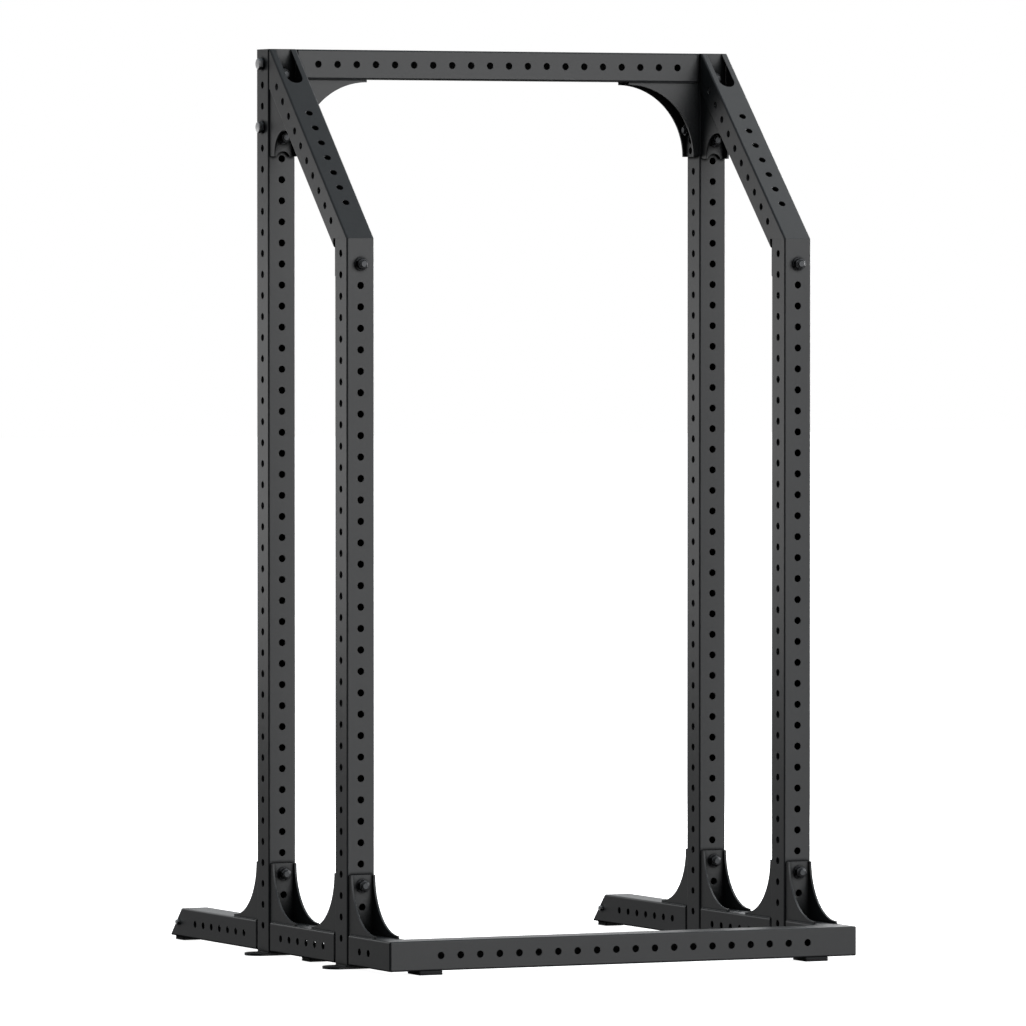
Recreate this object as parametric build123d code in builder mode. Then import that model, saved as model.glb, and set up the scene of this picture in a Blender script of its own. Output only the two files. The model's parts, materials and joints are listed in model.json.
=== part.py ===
from build123d import *
import math
import os

# Power cage: four punched square uprights, a top crossbeam, two sloping top arms and a
# U-shaped base, bolted together through welded end plates. Millimetres, +Z up, front at -Y,
# origin at the middle of the footprint on the floor.

# ---- Overall sizes -------------------------------------------------------------------
height = 2155  # floor to the top of the rear uprights
arm_rise = 450  # the front uprights stop this far below the rear ones
frame_width = 1140  # left to right, between the uprights' centre lines
upright_spacing = 460  # front to rear, between the uprights' centre lines
front_reach = 243  # front face of the front uprights to the front of the base
rear_reach = 532  # rear face of the rear uprights to the tips of the rear feet

# ---- Square tube and its punched holes -----------------------------------------------
tube = 70
wall = 3
corner = 4
hole = 17
pitch = 50
end_distance = 35  # least distance from a hole's centre to the end of its tube
hole_margin = 0.01  # lets a hole sit exactly at its end distance

# ---- Plates and gussets --------------------------------------------------------------
plate = 8
plate_width = 62
plate_corner = 3
plate_edge = 25  # from the last bolt hole to the edge of a base plate
gusset = 5
base_lip = 6
beam_gusset_size = 180
beam_lip = 7
arm_gusset_depth = 143  # along the underside of a sloping arm
arm_gusset_tip = 18  # width left on the end plate's bottom edge
arm_gusset_bow = 28  # depth of the curved edge
arm_plate_drop = 255  # height of the arm's rear end plate
arm_plate_notch = 17.5  # radius of the relief in that plate's bottom edge
lap_plate_edge = 30  # from the lap plate's bolt to its lower edge
bolt_steps = 3  # hole pitches between the two bolts of an upper joint

# ---- Sloping arms --------------------------------------------------------------------
arm_first_hole = 94  # along the arm, from the front uprights' front top edge
arm_side_holes = 10
arm_face_holes = 7
slot_width = 40
slot_length = 116  # along the arm's upper face, from its top end

# ---- Base ----------------------------------------------------------------------------
pad_height = 10  # the base tubes stand on rubber pads of this height
foot_plate = 6
foot_plate_reach = 45  # outboard of an upright's outer face
foot_plate_hole = 14
foot_plate_hole_inset = 22  # from the rounded end of a foot plate
rear_foot_first_hole = 72  # from the end plate's face
front_stub_first_hole = 62
corner_flat = 4  # ground off the welded front corners, measured along each face
rail_top_holes = 3
cross_pad_width = 60
cross_pad_spacing = 1000
small_pad = 50
pad_corner = 4
rear_pad_inset = 5  # from the tip of a rear foot

# ---- Plastic caps and fasteners ------------------------------------------------------
cap_wall = 3
cap_depth = 15
plug_wall = 4
plug_depth = 34
screw = 8
screw_bore = 8.4
screw_inset = 35  # from the middle of a rear foot's sloping end to its screws
screw_head = 13
screw_head_height = 8
screw_socket = 6
screw_grip = 1  # past the inside of the plug's wall
bolt = 16
bolt_head_flats = 24
bolt_head_height = 10
nut_height = 13
nut_collar = 3
nut_collar_width = 21
nut_bore = 16.2
thread_past = 2  # bolt end beyond the nut
washer = 3
washer_width = 30
washer_bore = 17
hex_bevel = 1

# ---- Places worked out from the sizes above ------------------------------------------
half_tube = tube / 2
inner = tube - 2 * wall
inner_corner = corner - wall
half_width = frame_width / 2
half_depth = (front_reach + upright_spacing + tube + rear_reach) / 2
front_y = -half_depth + front_reach + half_tube
rear_y = front_y + upright_spacing
cross_y = -half_depth + half_tube
front_height = height - arm_rise
base_centre = pad_height + half_tube
base_top = pad_height + tube
beam_centre = height - half_tube

# Every upright shares one ladder of holes, counted down from the crossbeam's centre line.
# The holes in the front and rear faces sit half a pitch below those in the sides.
lowest_hole = foot_plate + end_distance


def ladder(first, top):
    """Hole heights one pitch apart, from first downwards, that suit a tube ending at top."""
    count = int((first - lowest_hole) / pitch + hole_margin) + 1
    rungs = [first - pitch * step for step in range(count)]
    return [z for z in rungs if z <= top - end_distance + hole_margin]


def side_ladder(top):
    return ladder(beam_centre, top)


def face_ladder(top):
    return ladder(beam_centre - pitch / 2, top)


def centred_row(half_length):
    """Places half a pitch either side of the middle and on outwards, a pitch apart."""
    count = int((half_length - end_distance - pitch / 2) / pitch + hole_margin) + 1
    outward = [pitch * (step + 0.5) for step in range(count)]
    return [-place for place in reversed(outward)] + outward


base_holes = sorted(face_ladder(height))[1:4]
base_bolt = base_holes[-1]
base_plate_top = base_bolt + plate_edge
base_rise = base_plate_top - base_top
beam_bolts = [side_ladder(height)[0], side_ladder(height)[bolt_steps]]
arm_bolts = [face_ladder(height)[0], face_ladder(height)[bolt_steps]]
arm_notch_z = face_ladder(height)[bolt_steps + 1]

# A sloping arm's upper face runs from the front upright's top front edge to the top of
# the end plate on the rear upright.
arm_start_y = front_y - half_tube
arm_end_y = rear_y - half_tube - plate
lap_y = front_y + half_tube
arm_run = arm_end_y - arm_start_y
arm_length = math.hypot(arm_run, arm_rise)
arm_cos = arm_run / arm_length
arm_sin = arm_rise / arm_length
arm_under_z = height - tube / arm_cos  # where the arm's underside meets its end plate

# The lap plate's bolt is the highest one whose washer clears the arm's underside.
arm_under_lap = arm_under_z - (arm_end_y - lap_y - plate) * arm_rise / arm_run
lap_bolt = next(z for z in face_ladder(front_height) if z < arm_under_lap - washer_width / 2)
lap_plate_drop = front_height - lap_bolt + lap_plate_edge


def on_arm(along, depth):
    """The (y, z) of a point along the arm and below its upper face."""
    y = arm_start_y + along * arm_cos + depth * arm_sin
    z = front_height + along * arm_sin - depth * arm_cos
    return (y, z)


sides = {"left": -1, "right": 1}


def save(piece, label):
    piece.part.label = label
    export_step(piece.part, f"parts/{label}.step")


def tube_section(x, y):
    """A square tube's section, drawn into the sketch that is open."""
    with Locations((x, y)):
        RectangleRounded(tube, tube, corner)
        RectangleRounded(inner, inner, inner_corner, mode=Mode.SUBTRACT)


def punch(plane, places, through, diameter=hole):
    """Round holes at places on plane, cut through both ways in the part that is open."""
    with BuildSketch(plane) as circles:
        with Locations(*places):
            Circle(diameter / 2)
    extrude(circles.sketch, amount=through, both=True, mode=Mode.SUBTRACT)


def cut_outline(plane, corners, through):
    """A prism on the outline through the corners, cut from the part that is open."""
    with BuildSketch(plane) as outline:
        with BuildLine():
            Polyline(*corners, close=True)
        make_face()
    extrude(outline.sketch, amount=through, both=True, mode=Mode.SUBTRACT)


# ---- Uprights and their foot plates --------------------------------------------------
def upright(label, x, y, top):
    with BuildPart() as post:
        with BuildSketch(Plane.XY.offset(foot_plate)):
            tube_section(x, y)
        extrude(amount=top - foot_plate)
        punch(Plane.YZ.offset(x), [(y, z) for z in side_ladder(top)], tube)
        punch(Plane.XZ.offset(-y), [(x, z) for z in face_ladder(top)], tube)
    save(post, label)


def foot_plate_piece(label, side, y):
    outer_face = half_width + half_tube
    inner_x = side * (half_width - half_tube)
    round_x = side * (outer_face + foot_plate_reach - half_tube)
    with BuildPart() as foot:
        with BuildSketch():
            with Locations(((inner_x + round_x) / 2, y)):
                Rectangle(abs(round_x - inner_x), tube)
            with Locations((round_x, y)):
                Circle(half_tube)
        extrude(amount=foot_plate)
        hole_x = side * (outer_face + foot_plate_reach - foot_plate_hole_inset)
        punch(Plane.XY, [(hole_x, y)], foot_plate, foot_plate_hole)
    save(foot, label)


# ---- Crossbeam -----------------------------------------------------------------------
beam_half = half_width - half_tube - plate
beam_under = height - tube
beam_plate_bottom = beam_under - beam_gusset_size


def crossbeam_tube():
    with BuildPart() as beam:
        with BuildSketch(Plane.YZ.offset(-beam_half)):
            tube_section(rear_y, beam_centre)
        extrude(amount=2 * beam_half)
        row = [(x, beam_centre) for x in centred_row(beam_half)]
        punch(Plane.XZ.offset(-rear_y), row, tube)
    save(beam, "crossbeam_tube")


def crossbeam_end_plate(label, side):
    holes = [beam_bolts[0], beam_bolts[1], beam_bolts[1] - pitch / 2, beam_bolts[1] - pitch]
    plate_z = (height + beam_plate_bottom) / 2
    with BuildPart() as end_plate:
        with BuildSketch(Plane.YZ.offset(side * beam_half)):
            with Locations((rear_y, plate_z)):
                RectangleRounded(plate_width, height - beam_plate_bottom, plate_corner)
            with Locations(*[(rear_y, z) for z in holes]):
                Circle(hole / 2, mode=Mode.SUBTRACT)
        extrude(amount=side * plate)
    save(end_plate, label)


def gusset_pair(label, plane, size, lip):
    """Two plates with quarter-round inner edges, filling the corner at the plane's origin."""
    outer = plate_width / 2
    with BuildPart() as pair:
        with BuildSketch(plane.offset(outer - gusset), plane.offset(-outer)):
            with BuildLine():
                Polyline((lip, size), (0, size), (0, 0), (size, 0), (size, lip))
                CenterArc((size, size), size - lip, 180, 90)
            make_face()
        extrude(amount=gusset)
    save(pair, label)


def crossbeam_gussets(label, side):
    corner_plane = Plane(
        origin=(side * beam_half, rear_y, beam_under),
        x_dir=(-side, 0, 0),
        z_dir=(0, -side, 0),
    )
    gusset_pair(label, corner_plane, beam_gusset_size, beam_lip)


# ---- Sloping arms --------------------------------------------------------------------
def arm_tube(label, x):
    section = Plane(
        origin=(x, arm_start_y, front_height), x_dir=(1, 0, 0), z_dir=(0, arm_cos, arm_sin)
    )
    upper_face = Plane(
        origin=(x, arm_start_y, front_height), x_dir=(1, 0, 0), z_dir=(0, -arm_sin, arm_cos)
    )
    middle = Plane.YZ.offset(x)
    past = arm_length + 2 * tube
    side_places = [on_arm(arm_first_hole + pitch * n, half_tube) for n in range(arm_side_holes)]
    face_first = arm_first_hole + pitch / 2
    face_places = [(0, face_first + pitch * n) for n in range(arm_face_holes)]
    below = front_height - past
    with BuildPart() as arm:
        with BuildSketch(section):
            tube_section(0, half_tube)
        extrude(amount=past)
        # Square ends: one against the rear end plate, one stepped over the front upright.
        above = height + past
        end_box = [(arm_end_y, below), (past, below), (past, above), (arm_end_y, above)]
        cut_outline(middle, end_box, tube)
        step = [
            (arm_start_y - tube, below),
            (lap_y + plate, below),
            (lap_y + plate, front_height),
            (arm_start_y - tube, front_height),
        ]
        cut_outline(middle, step, tube)
        punch(middle, side_places, tube)
        punch(upper_face, face_places, 2 * tube)
        # Spanner slot over the top bolt, open at the arm's upper end.
        slot_round = arm_length - slot_length + slot_width / 2
        with BuildSketch(upper_face):
            with Locations((0, slot_round)):
                Circle(slot_width / 2)
            with Locations((0, (slot_round + past) / 2)):
                Rectangle(slot_width, past - slot_round)
        extrude(amount=-half_tube, mode=Mode.SUBTRACT)
    save(arm, label)


def arm_end_plate(label, x):
    bottom = height - arm_plate_drop
    with BuildPart() as end_plate:
        with BuildSketch(Plane.XZ.offset(-(arm_end_y + plate))):
            with Locations((x, height - arm_plate_drop / 2)):
                RectangleRounded(plate_width, arm_plate_drop, plate_corner)
            with Locations((x, arm_notch_z)):
                Circle(arm_plate_notch, mode=Mode.SUBTRACT)
            with Locations(*[(x, z) for z in arm_bolts]):
                Circle(hole / 2, mode=Mode.SUBTRACT)
        extrude(amount=plate)
    save(end_plate, label)


def arm_gussets(label, x):
    along = arm_length - (height - arm_under_z) * arm_sin - arm_gusset_depth
    slope_tip = on_arm(along, tube)
    plate_tip = (arm_end_y - arm_gusset_tip, height - arm_plate_drop)
    outer = plate_width / 2
    planes = [Plane.YZ.offset(x + outer - gusset), Plane.YZ.offset(x - outer)]
    with BuildPart() as pair:
        with BuildSketch(*planes):
            with BuildLine():
                Polyline(
                    plate_tip,
                    (arm_end_y, height - arm_plate_drop),
                    (arm_end_y, arm_under_z),
                    slope_tip,
                )
                SagittaArc(slope_tip, plate_tip, arm_gusset_bow)
            make_face()
        extrude(amount=gusset)
    save(pair, label)


def lap_plate(label, x):
    with BuildPart() as lap:
        with BuildSketch(Plane.XZ.offset(-(lap_y + plate))):
            with Locations((x, front_height - lap_plate_drop / 2)):
                RectangleRounded(plate_width, lap_plate_drop, plate_corner)
            with Locations((x, lap_bolt)):
                Circle(hole / 2, mode=Mode.SUBTRACT)
        extrude(amount=plate)
    save(lap, label)


# ---- Base ----------------------------------------------------------------------------
rail_half = (upright_spacing - tube) / 2 - plate
rail_y = (front_y + rear_y) / 2
rear_face = rear_y + half_tube + plate
stub_face = front_y - half_tube - plate
foot_middle = half_depth - half_tube  # the rear foot's sloping end at mid height


def mid_rail(label, x):
    with BuildPart() as rail:
        with BuildSketch(Plane.XZ.offset(-(rail_y - rail_half))):
            tube_section(x, base_centre)
        extrude(amount=-2 * rail_half)
        row = [(rail_y + place, base_centre) for place in centred_row(rail_half)]
        punch(Plane.YZ.offset(x), row, tube)
        middle = (rail_top_holes - 1) / 2
        top_row = [(x, rail_y + pitch * (n - middle)) for n in range(rail_top_holes)]
        punch(Plane.XY.offset(base_centre), top_row, tube)
    save(rail, label)


def foot_slope():
    """Outline of all that lies beyond a rear foot's sloping end."""
    low = half_depth + pad_height
    far = half_depth + 2 * tube
    return [(low + tube, -tube), (far, -tube), (far, 2 * tube), (low - 2 * tube, 2 * tube)]


def screw_places():
    return [(foot_middle - screw_inset / 2, base_centre)]


def rear_foot(label, x):
    with BuildPart() as foot:
        with BuildSketch(Plane.XZ.offset(-rear_face)):
            tube_section(x, base_centre)
        extrude(amount=-(half_depth - rear_face))
        cut_outline(Plane.YZ.offset(x), foot_slope(), tube)
        first = rear_face + rear_foot_first_hole
        last = half_depth - tube - screw_inset
        count = int((last - first) / pitch + hole_margin) + 1
        row = [(first + pitch * n, base_centre) for n in range(count)]
        punch(Plane.YZ.offset(x), row, tube)
        punch(Plane.YZ.offset(x), screw_places(), tube, screw_bore)
    save(foot, label)


def front_stub(label, x, side):
    outer_x = x + side * half_tube
    inner_x = x - side * half_tube
    with BuildPart() as stub:
        with BuildSketch(Plane.XZ.offset(half_depth)):
            tube_section(x, base_centre)
        extrude(amount=-(stub_face + half_depth))
        mitre = [
            (outer_x, -half_depth),
            (inner_x, -half_depth + tube),
            (inner_x - side * tube, -half_depth + tube),
            (inner_x - side * tube, -half_depth - tube),
            (outer_x, -half_depth - tube),
        ]
        dress_front_corner(side)
        cut_outline(Plane.XY, mitre, 2 * tube)
        first = stub_face - front_stub_first_hole
        count = int((first - end_distance - (cross_y + half_tube)) / pitch + hole_margin) + 1
        row = [(first - pitch * n, base_centre) for n in range(count)]
        punch(Plane.YZ.offset(x), row, tube)
    save(stub, label)


def dress_front_corner(side):
    """Takes the sharp front corner off the base piece that is open."""
    x = side * (half_width + half_tube)
    front = -half_depth
    reach = corner_flat + tube
    waste = [
        (x - side * reach, front - tube),
        (x + side * tube, front - tube),
        (x + side * tube, front + reach),
    ]
    cut_outline(Plane.XY, waste, 2 * tube)


def front_cross_tube():
    end_x = half_width + half_tube
    with BuildPart() as cross:
        with BuildSketch(Plane.YZ.offset(-end_x)):
            tube_section(cross_y, base_centre)
        extrude(amount=2 * end_x)
        for side in sides.values():
            mitre = [
                (side * end_x, -half_depth),
                (side * (end_x - tube), -half_depth + tube),
                (side * (end_x + tube), -half_depth + tube),
            ]
            cut_outline(Plane.XY, mitre, 2 * tube)
            dress_front_corner(side)
        row = [(x, base_centre) for x in centred_row(beam_half)]
        punch(Plane.XZ.offset(-cross_y), row, tube)
    save(cross, "front_cross_tube")


def base_end_plate(label, x, face, outward):
    """A plate standing against an upright's face, on the outward side of it along Y."""
    plate_height = base_plate_top - pad_height
    with BuildPart() as end_plate:
        with BuildSketch(Plane.XZ.offset(-face)):
            with Locations((x, pad_height + plate_height / 2)):
                RectangleRounded(plate_width, plate_height, plate_corner)
            with Locations(*[(x, z) for z in base_holes]):
                Circle(hole / 2, mode=Mode.SUBTRACT)
        extrude(amount=-outward * plate)
    save(end_plate, label)


def base_gussets(label, x, face, outward):
    corner_plane = Plane(
        origin=(x, face + outward * plate, base_top),
        x_dir=(0, outward, 0),
        z_dir=(outward, 0, 0),
    )
    gusset_pair(label, corner_plane, base_rise, base_lip)


def pads(label, places, width, depth):
    with BuildPart() as rubber:
        with BuildSketch():
            with Locations(*places):
                RectangleRounded(width, depth, pad_corner)
        extrude(amount=pad_height)
    save(rubber, label)


# ---- Plastic caps --------------------------------------------------------------------
def upright_caps():
    places = [(side * half_width, rear_y) for side in sides.values()]
    with BuildPart() as caps:
        with BuildSketch(Plane.XY.offset(height - cap_depth)):
            with Locations(*places):
                RectangleRounded(inner, inner, inner_corner)
        extrude(amount=cap_depth)
        with BuildSketch(Plane.XY.offset(height - cap_depth)):
            with Locations(*places):
                Rectangle(inner - 2 * cap_wall, inner - 2 * cap_wall)
        extrude(amount=cap_depth - cap_wall, mode=Mode.SUBTRACT)
    save(caps, "upright_caps")


def foot_plugs():
    centres = [(side * half_width, base_centre) for side in sides.values()]
    start = foot_middle - half_tube - plug_depth
    pocket = inner - 2 * plug_wall
    with BuildPart() as plugs:
        with BuildSketch(Plane.XZ.offset(-start)):
            with Locations(*centres):
                RectangleRounded(inner, inner, inner_corner)
        extrude(amount=-(half_depth - start))
        # The inner end slopes like the outer one, and the plug is hollow from inside.
        keep_back = half_depth + pad_height - plug_depth
        inside = [(keep_back + tube, -tube), (start - tube, -tube), (start - tube, 2 * tube)]
        inside.append((keep_back - 2 * tube, 2 * tube))
        cut_outline(Plane.YZ, inside, half_width + tube)
        cut_outline(Plane.YZ, foot_slope(), half_width + tube)
        with BuildSketch(Plane.XZ.offset(-start)):
            with Locations(*centres):
                Rectangle(pocket, pocket)
        extrude(amount=-(half_depth - start), mode=Mode.SUBTRACT)
        # The sloping end wall goes back in across the hollow.
        wall_back = plug_wall / math.sin(math.pi / 4)
        low = half_depth + pad_height - (base_centre - pocket / 2)
        high = low - pocket
        with BuildSketch(*[Plane.YZ.offset(x - pocket / 2) for x, z in centres]):
            with BuildLine():
                Polyline(
                    (low, base_centre - pocket / 2),
                    (high, base_centre + pocket / 2),
                    (high - wall_back, base_centre + pocket / 2),
                    (low - wall_back, base_centre - pocket / 2),
                    close=True,
                )
            make_face()
        extrude(amount=pocket)
        punch(Plane.YZ, screw_places(), half_width + tube, screw)
    save(plugs, "rear_foot_plugs")


# ---- Fasteners -----------------------------------------------------------------------
def hex_bolts(label, seats, clamped):
    """Bolts whose washers lie on the seats; each seat's normal points towards the head."""
    heads = [seat.offset(washer) for seat in seats]
    with BuildPart() as bolts:
        with BuildSketch(*heads):
            RegularPolygon(bolt_head_flats / 2, 6, major_radius=False)
        extrude(amount=bolt_head_height)
        tops = [face for seat in heads for face in end_faces(bolts, seat, bolt_head_height)]
        chamfer([edge for face in tops for edge in face.edges()], hex_bevel)
        with BuildSketch(*heads):
            Circle(bolt / 2)
        shank = clamped + 2 * washer + nut_height + nut_collar + thread_past
        extrude(amount=-shank)
    save(bolts, label)


def end_faces(piece, seat, distance):
    """The open part's flat faces whose centre lies on the seat's axis at distance."""
    target = seat.offset(distance).origin
    return [face for face in piece.faces() if (face.center() - target).length < hole_margin]


def lock_nuts(label, seats):
    """Nuts on washers on the seats; each seat's normal points towards the bolt's end."""
    inner_faces = [seat.offset(washer) for seat in seats]
    with BuildPart() as nuts:
        with BuildSketch(*inner_faces):
            RegularPolygon(bolt_head_flats / 2, 6, major_radius=False)
        extrude(amount=nut_height)
        tops = [face for seat in inner_faces for face in end_faces(nuts, seat, nut_height)]
        chamfer([edge for face in tops for edge in face.edges()], hex_bevel)
        with BuildSketch(*[seat.offset(nut_height) for seat in inner_faces]):
            Circle(nut_collar_width / 2)
        extrude(amount=nut_collar)
        with BuildSketch(*inner_faces):
            Circle(nut_bore / 2)
        extrude(amount=nut_height + nut_collar, mode=Mode.SUBTRACT)
    save(nuts, label)


def washers(label, seats):
    with BuildPart() as rings:
        with BuildSketch(*seats):
            Circle(washer_width / 2)
            Circle(washer_bore / 2, mode=Mode.SUBTRACT)
        extrude(amount=washer)
    save(rings, label)


def seats_along_y(places):
    """Head and nut seats for bolts through Y; each place is x, z, rear face, front face."""
    heads = [Plane((x, rear, z), x_dir=(1, 0, 0), z_dir=(0, 1, 0)) for x, z, rear, front in places]
    nuts = [Plane((x, front, z), x_dir=(1, 0, 0), z_dir=(0, -1, 0)) for x, z, rear, front in places]
    return heads, nuts


def base_fasteners():
    places = []
    for side in sides.values():
        for y in (front_y, rear_y):
            rear, front = y + half_tube + plate, y - half_tube - plate
            places.append((side * half_width, base_bolt, rear, front))
    heads, nuts = seats_along_y(places)
    hex_bolts("base_bolts", heads, tube + 2 * plate)
    lock_nuts("base_nuts", nuts)
    washers("base_washers", heads + nuts)


def crossbeam_fasteners():
    outer_x = half_width + half_tube
    heads = []
    nuts = []
    for side in sides.values():
        for z in beam_bolts:
            head_at, nut_at = (side * outer_x, rear_y, z), (side * beam_half, rear_y, z)
            heads.append(Plane(head_at, x_dir=(0, 1, 0), z_dir=(side, 0, 0)))
            nuts.append(Plane(nut_at, x_dir=(0, 1, 0), z_dir=(-side, 0, 0)))
    hex_bolts("crossbeam_bolts", heads, tube + plate)
    lock_nuts("crossbeam_nuts", nuts)
    washers("crossbeam_washers", heads + nuts)


def arm_fasteners():
    places = []
    for side in sides.values():
        x = side * half_width
        places += [(x, z, rear_y + half_tube, arm_end_y) for z in arm_bolts]
        places.append((x, lap_bolt, lap_y + plate, arm_start_y))
    heads, nuts = seats_along_y(places)
    hex_bolts("arm_bolts", heads, tube + plate)
    lock_nuts("arm_nuts", nuts)
    washers("arm_washers", heads + nuts)


def plug_screws():
    """Socket head screws through both side walls of each rear foot into its plug."""
    y, z = screw_places()[0]
    seats = []
    for side in sides.values():
        for outward in (-1, 1):
            x = side * half_width + outward * half_tube
            seats.append(Plane((x, y, z), x_dir=(0, 1, 0), z_dir=(outward, 0, 0)))
    with BuildPart() as screws:
        with BuildSketch(*seats):
            Circle(screw_head / 2)
        extrude(amount=screw_head_height)
        with BuildSketch(*seats):
            Circle(screw / 2)
        extrude(amount=-(wall + plug_wall + screw_grip))
        with BuildSketch(*[seat.offset(screw_head_height) for seat in seats]):
            RegularPolygon(screw_socket / 2, 6, major_radius=False)
        extrude(amount=-screw_head_height / 2, mode=Mode.SUBTRACT)
    save(screws, "plug_screws")


# ---- The whole cage ------------------------------------------------------------------
os.makedirs("parts", exist_ok=True)

crossbeam_tube()
front_cross_tube()
for name, side in sides.items():
    x = side * half_width
    upright(f"{name}_front_upright", x, front_y, front_height)
    upright(f"{name}_rear_upright", x, rear_y, height)
    foot_plate_piece(f"{name}_front_foot_plate", side, front_y)
    foot_plate_piece(f"{name}_rear_foot_plate", side, rear_y)
    crossbeam_end_plate(f"crossbeam_{name}_end_plate", side)
    crossbeam_gussets(f"crossbeam_{name}_gussets", side)
    arm_tube(f"{name}_arm_tube", x)
    arm_end_plate(f"{name}_arm_end_plate", x)
    arm_gussets(f"{name}_arm_gussets", x)
    lap_plate(f"{name}_arm_lap_plate", x)
    mid_rail(f"{name}_mid_rail", x)
    rear_foot(f"{name}_rear_foot", x)
    front_stub(f"{name}_front_stub", x, side)
    # The four base joints on this side: name, upright face, and the way out from it.
    joints = {
        "front_stub": (front_y - half_tube, -1),
        "mid_rail_front": (front_y + half_tube, 1),
        "mid_rail_rear": (rear_y - half_tube, -1),
        "rear_foot": (rear_y + half_tube, 1),
    }
    for joint, (face, outward) in joints.items():
        base_end_plate(f"{name}_{joint}_end_plate", x, face, outward)
        base_gussets(f"{name}_{joint}_gussets", x, face, outward)

pad_sides = [side * half_width for side in sides.values()]
cross_pads = [(side * cross_pad_spacing / 2, cross_y) for side in sides.values()]
rear_pad_y = half_depth - rear_pad_inset - small_pad / 2
pads("front_cross_pads", cross_pads, cross_pad_width, tube)
pads("mid_rail_pads", [(x, rail_y) for x in pad_sides], small_pad, small_pad)
pads("rear_foot_pads", [(x, rear_pad_y) for x in pad_sides], small_pad, small_pad)

upright_caps()
foot_plugs()
base_fasteners()
crossbeam_fasteners()
arm_fasteners()
plug_screws()
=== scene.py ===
"""Looks for a power cage: coat, welds, fasteners, rubber, plastic and a plain studio."""

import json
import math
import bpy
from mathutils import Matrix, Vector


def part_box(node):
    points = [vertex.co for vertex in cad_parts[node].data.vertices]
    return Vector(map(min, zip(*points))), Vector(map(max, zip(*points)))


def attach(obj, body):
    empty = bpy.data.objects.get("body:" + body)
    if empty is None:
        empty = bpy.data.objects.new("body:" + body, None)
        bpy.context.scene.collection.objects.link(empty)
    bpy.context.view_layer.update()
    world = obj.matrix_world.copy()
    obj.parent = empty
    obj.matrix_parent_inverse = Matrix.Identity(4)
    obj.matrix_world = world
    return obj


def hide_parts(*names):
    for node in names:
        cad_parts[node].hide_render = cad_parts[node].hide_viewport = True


bl_info = {
    "name": "Power Cage Looks",
    "version": (1, 0, 0),
    "blender": (4, 5, 0),
    "location": "View3D > Sidebar > Power Cage",
    "description": "Finishes the power cage and sets it on a studio floor",
    "category": "Object",
}

import bmesh
import bpy
from bpy.props import FloatProperty, FloatVectorProperty, IntProperty, PointerProperty
from mathutils import Matrix, Vector

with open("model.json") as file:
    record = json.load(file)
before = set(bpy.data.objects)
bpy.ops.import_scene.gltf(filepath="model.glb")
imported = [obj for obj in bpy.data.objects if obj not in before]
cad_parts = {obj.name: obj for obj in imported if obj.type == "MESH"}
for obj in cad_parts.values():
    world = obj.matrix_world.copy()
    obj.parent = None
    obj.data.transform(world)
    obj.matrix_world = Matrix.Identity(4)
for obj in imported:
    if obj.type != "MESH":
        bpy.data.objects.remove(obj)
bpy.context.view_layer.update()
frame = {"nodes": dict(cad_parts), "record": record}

BODY = "root"
MM = 0.001
SIDES = {"left": -1, "right": 1}
BASE_JOINTS = {"front_stub": -1, "mid_rail_front": 1, "mid_rail_rear": -1, "rear_foot": 1}
FASTENED = ("base", "crossbeam", "arm")
SMOOTH_ANGLE = math.radians(32)

# Weld seams: facets, share of the radius sunk into the joint, and bare length at each end.
SEAM_FACETS = 10
SEAM_SINK = 0.35
SEAM_END_GAP = 4 * MM

# Runs that fill the slits beside the tubes' ends: how far each reaches below the tube's top.
ROOT_FACETS = 20
ROOT_SINK = 0.25
ARM_ROOT_DROP = 95 * MM
BEAM_ROOT_DROP = 68 * MM

ARM_SLOPE = 0.996  # the sloping arm's fall for each unit forward
CHAMFER_SHARE = 0.965  # face of a hexagon head or nut, as a share of its width across flats
SHANK_FACETS = 40
CORNER_STEPS = 6  # facets round a rubber pad's corner
FLOOR_REACH = 60.0
FLOOR_GLOW = 0.93

# Each area light: its power setting, (width, height), place and the point that it faces.
LIGHTS = (
    ("upper_panel", (3.6, 1.3), (-1.5, 3.0, 2.6), (0, 0, 2.1)),
    ("lower_panel", (3.6, 1.3), (-1.5, 3.0, 1.2), (0, 0, 1.2)),
    ("front_high", (1.8, 1.2), (1.2, -3.4, 2.3), (0, 0, 1.7)),
    ("front_low", (2.0, 1.0), (0.6, -3.4, 0.7), (0, 0, 0.7)),
    ("right_light", (3.0, 3.0), (4.6, 0.5, 2.2), (0, 0, 1.1)),
    ("back_light", (3.0, 3.0), (4.6, 3.4, 1.8), (0, 0, 1.1)),
    ("top_light", (2.5, 2.5), (3.0, 0.5, 5.0), (0, 0, 1.0)),
)

# Where each fade of the backdrop's light starts and ends, along one part of the direction.
LOW_FADE = (-0.22, 0.0)
HIGH_FADE = (0.05, 0.5)
REAR_FADE = (0.0, 0.8)
FRONT_FADE = (0.0, -0.8)
SIDE_FADE = (-0.1, 0.1)
SKY_FADE = (0.1, 0.8)


# ---- Settings that a user would change -------------------------------------------------


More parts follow.
